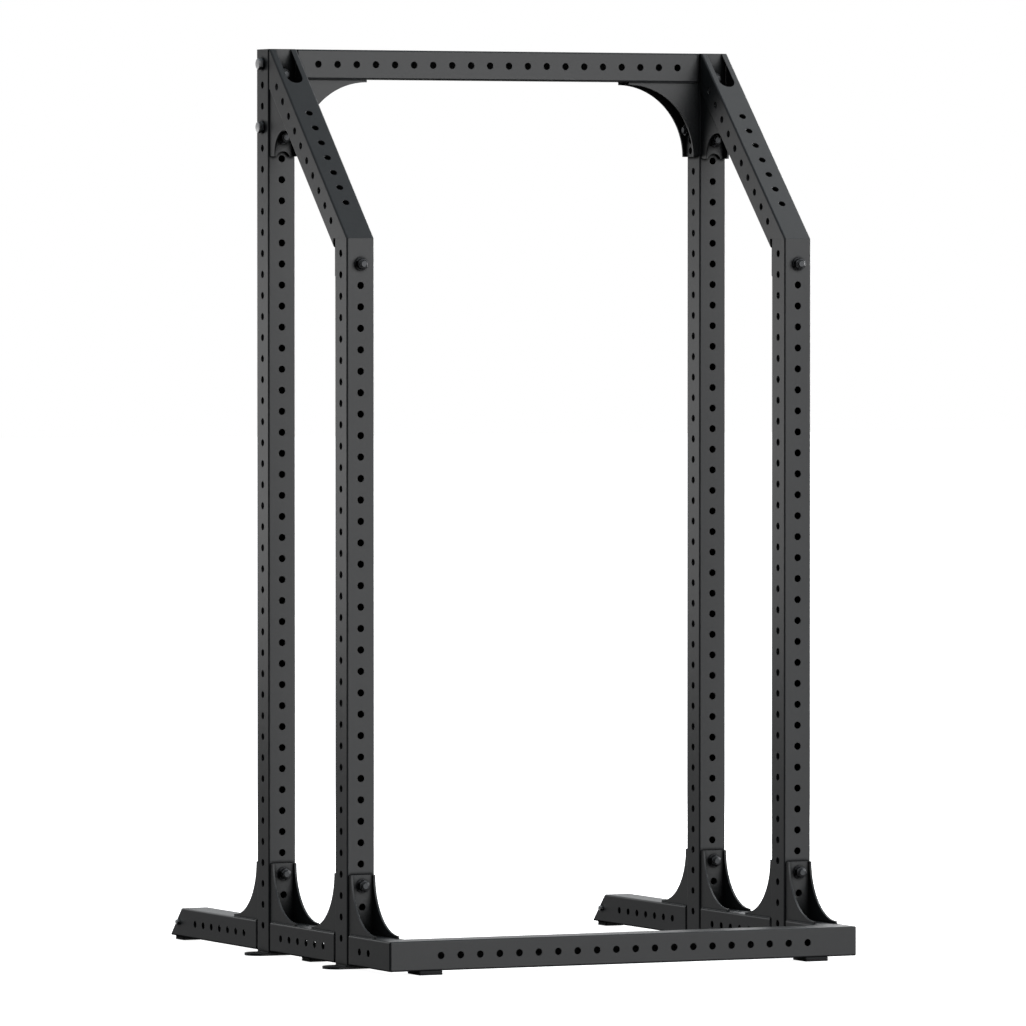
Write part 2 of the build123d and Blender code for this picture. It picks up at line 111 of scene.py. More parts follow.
class PowderCoatSettings(bpy.types.PropertyGroup):
    colour: FloatVectorProperty(
        name="Colour", description="Anthracite of the powder coat", subtype="COLOR",
        size=3, min=0.0, max=1.0, default=(0.027, 0.0287, 0.0308),
    )
    roughness: FloatProperty(
        name="Roughness", description="Mean roughness of the coat",
        subtype="FACTOR", min=0.0, max=1.0, default=0.37,
    )
    grain: FloatProperty(
        name="Grain", description="Width of one bump in the fine texture",
        subtype="DISTANCE", unit="LENGTH", default=1.1 * MM,
    )
    grain_depth: FloatProperty(
        name="Grain Depth", description="Height of the fine texture",
        subtype="DISTANCE", unit="LENGTH", default=0.05 * MM,
    )
    edge_round: FloatProperty(
        name="Edge Rounding", description="How far the coat rounds the cut edges",
        subtype="DISTANCE", unit="LENGTH", default=0.7 * MM,
    )
    # The next two set how far the painted shade reaches: into recesses, and along seams and
    # crevices.
    recess: FloatProperty(
        name="Recess Depth", description="How near a facing surface starts to darken the coat",
        subtype="DISTANCE", unit="LENGTH", default=0.075,
    )
    crevice: FloatProperty(
        name="Crevice Depth", description="How near a seam or a crevice darkens the coat",
        subtype="DISTANCE", unit="LENGTH", default=0.010,
    )


class WeldSettings(bpy.types.PropertyGroup):
    width: FloatProperty(
        name="Seam Radius", description="Radius of a weld seam's round back",
        subtype="DISTANCE", unit="LENGTH", default=2.6 * MM,
    )
    ripple: FloatProperty(
        name="Ripple", description="Distance from one ripple to the next",
        subtype="DISTANCE", unit="LENGTH", default=2.8 * MM,
    )
    ripple_depth: FloatProperty(
        name="Ripple Depth", description="Depth of the ripples as a share of the radius",
        subtype="FACTOR", min=0.0, max=1.0, default=0.14,
    )


class FastenerSettings(bpy.types.PropertyGroup):
    colour: FloatVectorProperty(
        name="Steel", description="Colour of the plated steel", subtype="COLOR",
        size=3, min=0.0, max=1.0, default=(0.55, 0.555, 0.56),
    )
    # A darker copy of the steel for the nuts, washers and the bolts' thread ends; on the thread
    # ends it is painted shade.
    dark: FloatVectorProperty(
        name="Blackened Steel", description="Colour of the nuts and thread ends", subtype="COLOR",
        size=3, min=0.0, max=1.0, default=(0.058, 0.060, 0.063),
    )
    roughness: FloatProperty(
        name="Roughness", description="Mean roughness of the plating",
        subtype="FACTOR", min=0.0, max=1.0, default=0.36,
    )
    thread_pitch: FloatProperty(
        name="Thread Pitch", description="Pitch of the bolts' coarse thread",
        subtype="DISTANCE", unit="LENGTH", default=2.0 * MM,
    )
    thread_depth: FloatProperty(
        name="Thread Depth", description="Depth of the bolts' thread",
        subtype="DISTANCE", unit="LENGTH", default=1.1 * MM,
    )
    segments: IntProperty(
        name="Segments", description="Facets round a fastener", min=24, default=72,
    )


class RubberSettings(bpy.types.PropertyGroup):
    colour: FloatVectorProperty(
        name="Rubber", description="Colour of the floor pads", subtype="COLOR",
        size=3, min=0.0, max=1.0, default=(0.016, 0.016, 0.017),
    )
    plastic: FloatVectorProperty(
        name="Plastic", description="Colour of the moulded caps", subtype="COLOR",
        size=3, min=0.0, max=1.0, default=(0.020, 0.020, 0.022),
    )
    edge: FloatProperty(
        name="Pad Edge", description="Rounding of a pad's rim",
        subtype="DISTANCE", unit="LENGTH", default=1.6 * MM,
    )


class StageSettings(bpy.types.PropertyGroup):
    azimuth: FloatProperty(
        name="Azimuth", description="Turn of the camera's view from the cage's front",
        subtype="ANGLE", unit="ROTATION", default=math.radians(-24.941),
    )
    elevation: FloatProperty(
        name="Elevation", description="How far the camera's view tilts down",
        subtype="ANGLE", unit="ROTATION", default=math.radians(1.562),
    )
    place: FloatVectorProperty(
        name="Camera Place", description="Where the camera stands",
        subtype="TRANSLATION", unit="LENGTH", default=(-9.21287, -19.83606, 1.64441),
    )
    lens: FloatProperty(
        name="Lens", description="Focal length in millimetres", default=320.09,
    )
    floor: FloatVectorProperty(
        name="Floor", description="Colour of the studio floor", subtype="COLOR",
        size=3, min=0.0, max=1.0, default=(0.9, 0.9, 0.9),
    )
    upper_panel: FloatProperty(
        name="Upper Panel", description="Power of the upper left rear light", default=2.0,
    )
    lower_panel: FloatProperty(
        name="Lower Panel", description="Power of the lower left rear light", default=14.0,
    )
    front_high: FloatProperty(
        name="Front High", description="Power of the upper front light", default=13.0,
    )
    front_low: FloatProperty(
        name="Front Low", description="Power of the lower front light", default=5.0,
    )
    right_light: FloatProperty(
        name="Right Light", description="Power of the light on the right side", default=200.0,
    )
    back_light: FloatProperty(
        name="Back Light", description="Power of the light on the back", default=220.0,
    )
    top_light: FloatProperty(
        name="Top Light", description="Power of the overhead light", default=30.0,
    )
    rear_left_glow: FloatProperty(
        name="Rear Left Glow", description="Light of the left rear horizon", default=0.43,
    )
    rear_right_glow: FloatProperty(
        name="Rear Right Glow", description="Light of the right rear horizon", default=1.35,
    )
    front_glow: FloatProperty(
        name="Front Glow", description="Light of the right front horizon", default=2.8,
    )
    sky_glow: FloatProperty(
        name="Sky Glow", description="Light from above", default=0.44,
    )


SETTINGS = {
    "cage_paint": PowderCoatSettings,
    "cage_welds": WeldSettings,
    "cage_fasteners": FastenerSettings,
    "cage_rubber": RubberSettings,
    "cage_stage": StageSettings,
}


# ---- Materials -------------------------------------------------------------------------


def new_material(name):
    """A material with an empty tree, its shader and its output."""
    material = bpy.data.materials.new(name)
    material.use_nodes = True
    tree = material.node_tree
    tree.nodes.clear()
    output = tree.nodes.new("ShaderNodeOutputMaterial")
    shader = tree.nodes.new("ShaderNodeBsdfPrincipled")
    tree.links.new(shader.outputs["BSDF"], output.inputs["Surface"])
    return material, tree, shader


def place_coordinates(tree):
    """The surface's place in metres, the same on every piece."""
    return tree.nodes.new("ShaderNodeTexCoord").outputs["Object"]


def noise(tree, size, detail=2.0, rough=0.5, stretch=(1, 1, 1)):
    """Noise whose features are about size metres across."""
    mapping = tree.nodes.new("ShaderNodeMapping")
    mapping.inputs["Scale"].default_value = stretch
    tree.links.new(place_coordinates(tree), mapping.inputs["Vector"])
    texture = tree.nodes.new("ShaderNodeTexNoise")
    texture.inputs["Scale"].default_value = 1.0 / size
    texture.inputs["Detail"].default_value = detail
    texture.inputs["Roughness"].default_value = rough
    tree.links.new(mapping.outputs["Vector"], texture.inputs["Vector"])
    return texture.outputs["Fac"]


def spread(tree, value, low, high, start=0.3, end=0.7):
    """value mapped from start..end to low..high, held at both ends."""
    node = tree.nodes.new("ShaderNodeMapRange")
    node.inputs["From Min"].default_value = start
    node.inputs["From Max"].default_value = end
    node.inputs["To Min"].default_value = low
    node.inputs["To Max"].default_value = high
    tree.links.new(value, node.inputs["Value"])
    return node.outputs["Result"]


def tint(tree, shader, value, dark, light):
    """The base colour, from dark to light with value."""
    mix = tree.nodes.new("ShaderNodeMix")
    mix.data_type = "RGBA"
    mix.inputs["A"].default_value = (*dark, 1.0)
    mix.inputs["B"].default_value = (*light, 1.0)
    tree.links.new(value, mix.inputs["Factor"])
    tree.links.new(mix.outputs["Result"], shader.inputs["Base Color"])


def openness(tree, reach, closed, clear):
    """0 where surfaces within reach close a place in, 1 where it lies clear."""
    occlusion = tree.nodes.new("ShaderNodeAmbientOcclusion")
    occlusion.samples = 8
    occlusion.inputs["Distance"].default_value = reach
    return spread(tree, occlusion.outputs["AO"], 0.0, 1.0, closed, clear)


def paint_recess_shade(tree, shader, recess, crevice, rough):
    """Paints shade into the coat: its colour goes near black where another surface stands close in
    front of it, and the coat is dulled there.
    """
    both = tree.nodes.new("ShaderNodeMath")
    both.operation = "MULTIPLY"
    tree.links.new(openness(tree, recess, 0.2, 0.72), both.inputs[0])
    tree.links.new(openness(tree, crevice, 0.5, 0.92), both.inputs[1])
    unshaded_share = both.outputs["Value"]
    socket = shader.inputs["Base Color"]
    coloured = socket.links[0].from_socket
    # Painted shade: the coat's colour is mixed towards near black in recesses and crevices.
    mix = tree.nodes.new("ShaderNodeMix")
    mix.data_type = "RGBA"
    mix.inputs["A"].default_value = (0.001, 0.001, 0.001, 1.0)
    tree.links.new(coloured, mix.inputs["B"])
    tree.links.new(unshaded_share, mix.inputs["Factor"])
    tree.links.new(mix.outputs["Result"], socket)
    dull = tree.nodes.new("ShaderNodeMix")
    dull.data_type = "FLOAT"
    dull.inputs["A"].default_value = 1.0
    tree.links.new(rough, dull.inputs["B"])
    tree.links.new(unshaded_share, dull.inputs["Factor"])
    tree.links.new(dull.outputs["Result"], shader.inputs["Roughness"])


def bump(tree, shader, layers, rounding=0.0):
    """Chained bumps, each (height value, depth in metres), over an optional edge rounding."""
    normal = None
    if rounding:
        bevel = tree.nodes.new("ShaderNodeBevel")
        bevel.samples = 4
        bevel.inputs["Radius"].default_value = rounding
        normal = bevel.outputs["Normal"]
    for height, depth in layers:
        node = tree.nodes.new("ShaderNodeBump")
        node.inputs["Strength"].default_value = 1.0
        node.inputs["Distance"].default_value = depth
        tree.links.new(height, node.inputs["Height"])
        if normal:
            tree.links.new(normal, node.inputs["Normal"])
        normal = node.outputs["Normal"]
    tree.links.new(normal, shader.inputs["Normal"])


def shade(colour, factor):
    """The colour made factor times as bright, held at 1."""
    return tuple(min(1.0, channel * factor) for channel in colour)


def powder_coat(settings):
    """Fine-textured satin anthracite with a faint cloudiness, and painted shade in its recesses
    and crevices.
    """
    material, tree, shader = new_material("anthracite_powder_coat")
    cloud = noise(tree, 0.09, detail=4.0, rough=0.6)
    grain = noise(tree, settings.grain, detail=3.0, rough=0.65)
    fleck = noise(tree, settings.grain * 0.45, detail=1.0)
    mixed = tree.nodes.new("ShaderNodeMath")
    mixed.operation = "MULTIPLY_ADD"
    mixed.inputs[1].default_value = 0.35
    tree.links.new(grain, mixed.inputs[0])
    tree.links.new(spread(tree, cloud, 0.15, 0.5), mixed.inputs[2])
    dark, light = shade(settings.colour, 0.82), shade(settings.colour, 1.22)
    tint(tree, shader, mixed.outputs["Value"], dark, light)
    rough = spread(tree, grain, settings.roughness - 0.05, settings.roughness + 0.07)
    # Painted shade in recesses and crevices, with the coat dulled there.
    paint_recess_shade(tree, shader, settings.recess, settings.crevice, rough)
    shader.inputs["Specular IOR Level"].default_value = 0.45
    bump(
        tree,
        shader,
        [
            (noise(tree, settings.grain * 2.8, detail=1.0), settings.grain_depth * 1.6),
            (grain, settings.grain_depth),
            (fleck, settings.grain_depth * 0.3),
        ],
        settings.edge_round,
    )
    return material


def turned_steel(name, colour, roughness):
    """Dulled plating with cloudy patches and fine turning marks."""
    material, tree, shader = new_material(name)
    cloud = noise(tree, 0.006, detail=4.0, rough=0.6)
    marks = noise(tree, 0.0006, detail=2.0, stretch=(1.0, 1.0, 0.25))
    tint(tree, shader, spread(tree, cloud, 0.0, 1.0), shade(colour, 0.7), shade(colour, 1.2))
    rough = spread(tree, cloud, roughness - 0.08, roughness + 0.12)
    tree.links.new(rough, shader.inputs["Roughness"])
    shader.inputs["Metallic"].default_value = 1.0
    bump(tree, shader, [(marks, 0.02 * MM)])
    return material


def moulded(name, colour, grain, depth, roughness):
    """Rubber or plastic with a moulded grain and dusty unevenness."""
    material, tree, shader = new_material(name)
    dust = noise(tree, 0.02, detail=5.0, rough=0.65)
    surface = noise(tree, grain, detail=2.0)
    tint(tree, shader, spread(tree, dust, 0.0, 1.0), shade(colour, 0.8), shade(colour, 1.6))
    rough = spread(tree, dust, roughness - 0.06, roughness + 0.08)
    tree.links.new(rough, shader.inputs["Roughness"])
    shader.inputs["Specular IOR Level"].default_value = 0.4
    bump(tree, shader, [(surface, depth)])
    return material


def named_material(context, name):
    """The cage's material of that name, made when first asked for."""
    if name in bpy.data.materials:
        return bpy.data.materials[name]
    scene = context.scene
    if name == "anthracite_powder_coat":
        return powder_coat(scene.cage_paint)
    fasteners = scene.cage_fasteners
    if name == "zinc_plated_steel":
        return turned_steel(name, fasteners.colour, fasteners.roughness)
    if name == "bright_steel":
        return turned_steel(name, shade(fasteners.colour, 1.5), fasteners.roughness - 0.08)
    if name == "blackened_steel":
        return turned_steel(name, fasteners.dark, fasteners.roughness)
    if name == "black_rubber":
        return moulded(name, scene.cage_rubber.colour, 0.9 * MM, 0.06 * MM, 0.72)
    return moulded(name, scene.cage_rubber.plastic, 0.6 * MM, 0.03 * MM, 0.5)


# ---- Mesh helpers ----------------------------------------------------------------------


def finish_piece(mesh, name, materials, nodes=()):
    """Turns a bmesh into a shown piece that rides on the cage."""
    data = bpy.data.meshes.new(name)
    bmesh.ops.recalc_face_normals(mesh, faces=mesh.faces)
    mesh.to_mesh(data)
    mesh.free()
    for material in materials:
        data.materials.append(material)
    piece = bpy.data.objects.new(name, data)
    bpy.context.scene.collection.objects.link(piece)
    data.shade_smooth()
    data.set_sharp_from_angle(angle=SMOOTH_ANGLE)
    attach(piece, BODY)
    if nodes:
        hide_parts(*nodes)
    return piece


def node_islands(node):
    """(lowest corner, highest corner) of each separate solid in a node, in a fixed order."""
    mesh = bmesh.new()
    mesh.from_mesh(frame["nodes"][node].data)
    bmesh.ops.remove_doubles(mesh, verts=mesh.verts, dist=0.01 * MM)
    seen = set()
    boxes = []
    for start in mesh.verts:
        if start.index in seen:
            continue
        stack = [start]
        seen.add(start.index)
        points = []
        while stack:
            vertex = stack.pop()
            points.append(vertex.co.copy())
            for edge in vertex.link_edges:
                other = edge.other_vert(vertex)
                if other.index not in seen:
                    seen.add(other.index)
                    stack.append(other)
        low = Vector([min(p[i] for p in points) for i in range(3)])
        high = Vector([max(p[i] for p in points) for i in range(3)])
        boxes.append((low, high))
    mesh.free()
    return sorted(boxes, key=lambda corners: tuple(round(v, 4) for v in corners[0]))


def axis_frame(origin, direction):
    """A matrix that turns local Z to direction and moves the origin."""
    turn = Vector(direction).to_track_quat("Z", "Y").to_matrix().to_4x4()
    return Matrix.Translation(origin) @ turn


def circle(mesh, place, radius, height, segments):
    """A ring of vertices round local Z."""
    ring = []
    for step in range(segments):
        angle = math.tau * step / segments
        point = Vector((radius * math.cos(angle), radius * math.sin(angle), height))
        ring.append(mesh.verts.new(place @ point))
    return ring


def lathe(mesh, place, profile, segments):
    """A closed ring or solid from (radius, height) points turned about local Z."""
    rings = []
    for radius, height in profile:
        if radius < 1e-7:
            rings.append([mesh.verts.new(place @ Vector((0, 0, height)))])
        else:
            rings.append(circle(mesh, place, radius, height, segments))
    for ring, following in zip(rings, rings[1:]):
        bridge(mesh, ring, following)
    if len(rings[0]) > 1 and len(rings[-1]) > 1:
        bridge(mesh, rings[-1], rings[0])


def bridge(mesh, ring, following):
    """Faces between two rings, either of which may be a single point."""
    count = max(len(ring), len(following))
    for step in range(count):
        after = (step + 1) % count
        corners = []
        for source, index in ((ring, step), (ring, after), (following, after), (following, step)):
            vertex = source[index % len(source)]
            if vertex not in corners:
                corners.append(vertex)
        if len(corners) > 2:
            mesh.faces.new(corners)


def hexagon_radius(angle, flats):
    """Distance from the middle to the side of a hexagon that is flats across."""
    turned = (angle + math.pi / 6) % (math.pi / 3) - math.pi / 6
    return flats / 2 / math.cos(turned)


def hex_body(mesh, place, flats, base, top, segments, bore=0.0, both_ends=False):
    """A hexagonal prism whose corners are turned off at 30 degrees, as on bolts and nuts."""
    cone = flats / 2 * CHAMFER_SHARE
    slope = math.tan(math.radians(30))
    rings = [[] for _ in range(4 if both_ends else 3)]
    for step in range(segments):
        angle = math.tau * step / segments
        outline = hexagon_radius(angle, flats)
        cut = (outline - cone) * slope
        levels = [(outline, top - cut), (cone, top)]
        if both_ends:
            levels = [(cone, base), (outline, base + cut)] + levels
        else:
            levels = [(outline, base)] + levels
        direction = Vector((math.cos(angle), math.sin(angle), 0))
        for ring, (radius, height) in zip(rings, levels):
            ring.append(mesh.verts.new(place @ (direction * radius + Vector((0, 0, height)))))
    for ring, following in zip(rings, rings[1:]):
        bridge(mesh, ring, following)
    if bore:
        lower, upper = (circle(mesh, place, bore, height, segments) for height in (base, top))
        bridge(mesh, rings[0], lower)
        bridge(mesh, lower, upper)
        bridge(mesh, upper, rings[-1])
    else:
        mesh.faces.new(rings[0])
        mesh.faces.new(rings[-1])


def threaded_rod(mesh, place, radius, depth, pitch, length, segments):
    """A rod from local Z 0 to length, threaded over its last eight turns, with a turned end."""
    threaded = min(length * 0.6, pitch * 8)
    rows_per_pitch = 6
    rows = int(threaded / pitch * rows_per_pitch)
    heights = [0.0] + [length - threaded + threaded * row / rows for row in range(rows + 1)]
    end_turn = depth * 1.2
    rings = []
    for height in heights:
        ring = []
        for step in range(segments):
            turn = step / segments
            phase = (height / pitch - turn) % 1.0
            groove = depth * (1.0 - abs(2.0 * phase - 1.0))
            fade = min(1.0, max(0.0, (height - (length - threaded)) / pitch))
            reach = radius - groove * fade
            reach = min(reach, radius - end_turn + max(0.0, length - height))
            angle = math.tau * turn
            point = Vector((reach * math.cos(angle), reach * math.sin(angle), height))
            ring.append(mesh.verts.new(place @ point))
        rings.append(ring)
    for ring, following in zip(rings, rings[1:]):
        bridge(mesh, ring, following)
    mesh.faces.new(rings[0])
    mesh.faces.new(rings[-1])


def long_axis(low, high):
    """Index of the axis along which a box is longest."""
    size = high - low
    return max(range(3), key=lambda index: size[index])


def thin_axis(low, high):
    """Index of the axis along which a box is thinnest."""
    size = high - low
    return min(range(3), key=lambda index: size[index])


def bolt_end(centre, axis, nuts):
    """Which way along axis the nearest nut lies from a bolt's centre."""
    nearest = min(nuts, key=lambda nut: ((nut[0] + nut[1]) / 2 - centre).length)
    offset = (nearest[0] + nearest[1]) / 2 - centre
    return 1.0 if offset[axis] > 0 else -1.0


# ---- Operators, one for each group of like pieces --------------------------------------


class CAGE_OT_powder_coat(bpy.types.Operator):
    """Powder coat every tube, plate and gusset"""

    bl_idname = "cage.powder_coat"
    bl_label = "Powder Coat the Frame"

    def execute(self, context):
        coat = named_material(context, "anthracite_powder_coat")
        slots = {part["node"]: part["material_slot"] for part in frame["record"]["subparts"]}
        painted = [node for node in frame["nodes"] if slots[node] == "frame_paint"]
        if not painted:
            raise RuntimeError("the frame has no painted nodes")
        for node in painted:
            data = frame["nodes"][node].data
            data.materials.clear()
            data.materials.append(coat)
        return {"FINISHED"}


class CAGE_OT_weld_seams(bpy.types.Operator):
    """Lay weld seams where plates, gussets and tubes meet"""

    bl_idname = "cage.weld_seams"
    bl_label = "Lay Weld Seams"

    def seam(self, mesh, start, end, settings):
        """One rippled half-round seam between two points."""
        start = Vector(start)
        along = Vector(end) - start
        length = along.length
        place = axis_frame(start, along)
        steps = max(4, int(length / settings.ripple * 4))
        profile = [(0.0, 0.0)]
        for step in range(steps + 1):
            place_along = length * step / steps
            phase = place_along / settings.ripple
            ripple = 1.0 - settings.ripple_depth * abs(math.sin(math.pi * phase))
            taper = min(1.0, 0.55 + min(place_along, length - place_along) / settings.width * 0.3)
            profile.append((settings.width * ripple * taper, place_along))
        profile.append((0.0, length))
        lathe(mesh, place, profile, SEAM_FACETS)

    def base_joint_seams(self, mesh, name, joint, outward, settings):
        """Seams of one base joint: tube to end plate, and both gussets to the tube."""
        plate_low, plate_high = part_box(f"{name}_{joint}_end_plate")
        gusset_low, gusset_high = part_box(f"{name}_{joint}_gussets")
        tube_top = gusset_low.z
        y_end = plate_high.y if outward > 0 else plate_low.y
        tip = gusset_high.y if outward > 0 else gusset_low.y
        inset = settings.width * SEAM_SINK
        for x, side in ((plate_low.x, -1), (plate_high.x, 1)):
            edge = x + side * inset
            corner_y = y_end - outward * inset
            foot = (edge, corner_y, plate_low.z + SEAM_END_GAP)
            self.seam(mesh, foot, (edge, corner_y, tube_top - SEAM_END_GAP), settings)
            self.seam(mesh, (x, y_end, tube_top), (x, tip, tube_top), settings)

    def execute(self, context):
        settings = context.scene.cage_welds
        mesh = bmesh.new()
        for name, side in SIDES.items():
            for joint, outward in BASE_JOINTS.items():
                self.base_joint_seams(mesh, name, joint, outward, settings)
            self.upper_seams(mesh, name, side, settings)
        coat = named_material(context, "anthracite_powder_coat")
        finish_piece(mesh, "weld_seams", [coat])
        return {"FINISHED"}

    def upper_seams(self, mesh, name, side, settings):
        """Seams of the crossbeam's and the sloping arm's end plates and gussets."""
        plate_low, plate_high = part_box(f"crossbeam_{name}_end_plate")
        gusset_low, gusset_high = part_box(f"crossbeam_{name}_gussets")
        face_x = plate_high.x if side < 0 else plate_low.x
        tip_x = gusset_high.x if side < 0 else gusset_low.x
        inset = settings.width * SEAM_SINK
        for y, way in ((plate_low.y, -1), (plate_high.y, 1)):
            self.seam(mesh, (face_x, y, gusset_high.z), (tip_x, y, gusset_high.z), settings)
            edge = y + way * inset
            near = face_x + side * inset
            foot = (near, edge, gusset_high.z + SEAM_END_GAP)
            self.seam(mesh, foot, (near, edge, plate_high.z - SEAM_END_GAP), settings)
        arm_low, arm_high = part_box(f"{name}_arm_gussets")
        for x in (arm_low.x, arm_high.x):
            start = (x, arm_high.y, arm_high.z)
            drop = arm_high.y - arm_low.y
            self.seam(mesh, start, (x, arm_low.y, arm_high.z - drop * ARM_SLOPE), settings)
        self.root_run(mesh, f"{name}_arm_end_plate", f"{name}_arm_tube", 1, ARM_ROOT_DROP)
        self.root_run(
            mesh, f"crossbeam_{name}_end_plate", "crossbeam_tube", 0, BEAM_ROOT_DROP
        )
        for end in ("front", "rear"):
            low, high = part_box(f"{name}_{end}_upright")
            x = low.x if side < 0 else high.x
            start = (x, low.y + SEAM_END_GAP, low.z)
            self.seam(mesh, start, (x, high.y - SEAM_END_GAP, low.z), settings)

    def root_run(self, mesh, plate, tube, axis, drop):
        """Fills the slit beside a tube's end where its plate is narrower than the tube."""
        low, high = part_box(plate)
        tube_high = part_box(tube)[1]
        across = 1 - axis
        radius = (high[axis] - low[axis]) / 2
        foot = tube_high.z - drop
        for edge, way in ((low[across], -1), (high[across], 1)):
            centre = [0.0, 0.0]
            centre[axis] = (low[axis] + high[axis]) / 2
            centre[across] = edge - way * radius * ROOT_SINK
            place = Matrix.Translation((centre[0], centre[1], foot))
            length = tube_high.z - 3 * MM - foot
            profile = [(0.0, 0.0), (radius, 0.0), (radius, length), (0.0, length)]
            lathe(mesh, place, profile, ROOT_FACETS)


class CAGE_OT_bolts(bpy.types.Operator):
    """Model the hexagon bolts with turned heads and threaded ends"""

    bl_idname = "cage.bolts"
    bl_label = "Model the Bolts"

    def execute(self, context):
        settings = context.scene.cage_fasteners
        names = ("zinc_plated_steel", "blackened_steel")
        finishes = [named_material(context, name) for name in names]
        head_height = 10 * MM
        flats = 24 * MM
        radius = 8 * MM
        for group in FASTENED:
            nuts = node_islands(f"{group}_nuts")
            mesh = bmesh.new()
            for low, high in node_islands(f"{group}_bolts"):
                axis = long_axis(low, high)
                centre = (low + high) / 2
                way = bolt_end(centre, axis, nuts)
                direction = Vector((0, 0, 0))
                direction[axis] = way
                origin = centre - direction * (high[axis] - low[axis]) / 2
                place = axis_frame(origin, direction)
                shank = place @ Matrix.Translation((0, 0, head_height))
                upside = shank @ Matrix.Rotation(math.pi, 4, "X")
                hex_body(mesh, upside, flats, 0.0, head_height, settings.segments)
                heads = len(mesh.faces)
                length = high[axis] - low[axis] - head_height
                threaded_rod(
                    mesh, shank, radius, settings.thread_depth, settings.thread_pitch, length,
                    SHANK_FACETS,
                )
                # Painted shade: each bolt's shank and thread end take the darker steel and its
                # head the bright plating, a shaded and a lit copy of one steel.
                mesh.faces.ensure_lookup_table()
                for face in mesh.faces[heads:]:
                    face.material_index = 1
            replaced = (f"{group}_bolts",)
            finish_piece(mesh, f"{group}_hex_bolts", finishes, replaced)
        return {"FINISHED"}


class CAGE_OT_lock_nuts(bpy.types.Operator):
    """Model the lock nuts with their collars and nylon rings"""

    bl_idname = "cage.lock_nuts"
    bl_label = "Model the Lock Nuts"

    def execute(self, context):
        settings = context.scene.cage_fasteners
        steel = named_material(context, "blackened_steel")
        nylon = named_material(context, "black_moulded_plastic")
        hex_height = 13 * MM
        flats = 24 * MM
        bore = 8.1 * MM
        collar = 10.5 * MM
        ring = 9.2 * MM
        for group in FASTENED:
            bolts = node_islands(f"{group}_bolts")
            mesh = bmesh.new()
            rings = bmesh.new()
            for low, high in node_islands(f"{group}_nuts"):
                axis = thin_axis(low, high)
                centre = (low + high) / 2
                away = -bolt_end(centre, axis, bolts)
                direction = Vector((0, 0, 0))
                direction[axis] = away
                height = high[axis] - low[axis]
                place = axis_frame(centre - direction * height / 2, direction)
                hex_body(mesh, place, flats, 0.0, hex_height, settings.segments, bore, True)
                lip = height - 0.9 * MM
                lathe(mesh, place, [
                    (collar, hex_height - 0.2 * MM), (collar, lip - 0.6 * MM),
                    (collar - 0.5 * MM, lip + 0.4 * MM), (collar - 1.1 * MM, height),
                    (ring, height), (ring, hex_height - 0.2 * MM),
                ], settings.segments)
                lathe(rings, place, [
                    (ring, hex_height - 0.1 * MM), (ring, height - 0.5 * MM),
                    (bore + 0.3 * MM, height - 0.5 * MM), (bore, height - 0.9 * MM),
                    (bore, hex_height - 0.1 * MM),
                ], settings.segments)
            replaced = (f"{group}_nuts",)
            finish_piece(mesh, f"{group}_lock_nuts", [steel], replaced)
            finish_piece(rings, f"{group}_nylon_rings", [nylon])
        return {"FINISHED"}


class CAGE_OT_washers(bpy.types.Operator):
    """Model the washers with broken edges"""

    bl_idname = "cage.washers"
    bl_label = "Model the Washers"

    def execute(self, context):
        settings = context.scene.cage_fasteners
        steel = named_material(context, "blackened_steel")
        bore = 8.5 * MM
        edge = 0.45 * MM
        for group in FASTENED:
            mesh = bmesh.new()
            for low, high in node_islands(f"{group}_washers"):
                axis = thin_axis(low, high)
                thick = high[axis] - low[axis]
                outer = (high[(axis + 1) % 3] - low[(axis + 1) % 3]) / 2
                direction = Vector((0, 0, 0))
                direction[axis] = 1.0
                place = axis_frame((low + high) / 2 - direction * thick / 2, direction)
                lathe(mesh, place, [
                    (bore, 0.0), (outer - edge, 0.0), (outer, edge), (outer, thick - edge),
                    (outer - edge, thick), (bore, thick),
                ], settings.segments)
            replaced = (f"{group}_washers",)
            finish_piece(mesh, f"{group}_plain_washers", [steel], replaced)
        return {"FINISHED"}


class CAGE_OT_plug_screws(bpy.types.Operator):
    """Model the socket screws in the rear feet"""

    bl_idname = "cage.plug_screws"
    bl_label = "Model the Plug Screws"

    def execute(self, context):
        steel = named_material(context, "bright_steel")
        head = 6.5 * MM
        head_height = 8 * MM
        shank = 4 * MM
        socket = 3.4 * MM
        edge = 0.6 * MM
        knurls = 32
        mesh = bmesh.new()
        tubes = {name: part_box(f"{name}_rear_foot") for name in SIDES}
        for low, high in node_islands("plug_screws"):
            centre = (low + high) / 2
            name = "left" if centre.x < 0 else "right"
            middle = (tubes[name][0].x + tubes[name][1].x) / 2
            way = 1.0 if centre.x > middle else -1.0
            outer_x = high.x if way > 0 else low.x
            seat = Vector((outer_x - way * head_height, centre.y, centre.z))
            place = axis_frame(seat, (way, 0, 0))
            length = high.x - low.x - head_height
            lathe(mesh, place, [
                (0.0, -length), (shank, -length), (shank, 0.0), (head, 0.0),
                (head, head_height - edge), (head - edge, head_height),
                (socket + 0.3 * MM, head_height), (socket, head_height - 0.3 * MM),
                (socket, head_height * 0.5), (0.0, head_height * 0.45),
            ], knurls * 2)
        finish_piece(mesh, "socket_screws", [steel], ("plug_screws",))
        return {"FINISHED"}


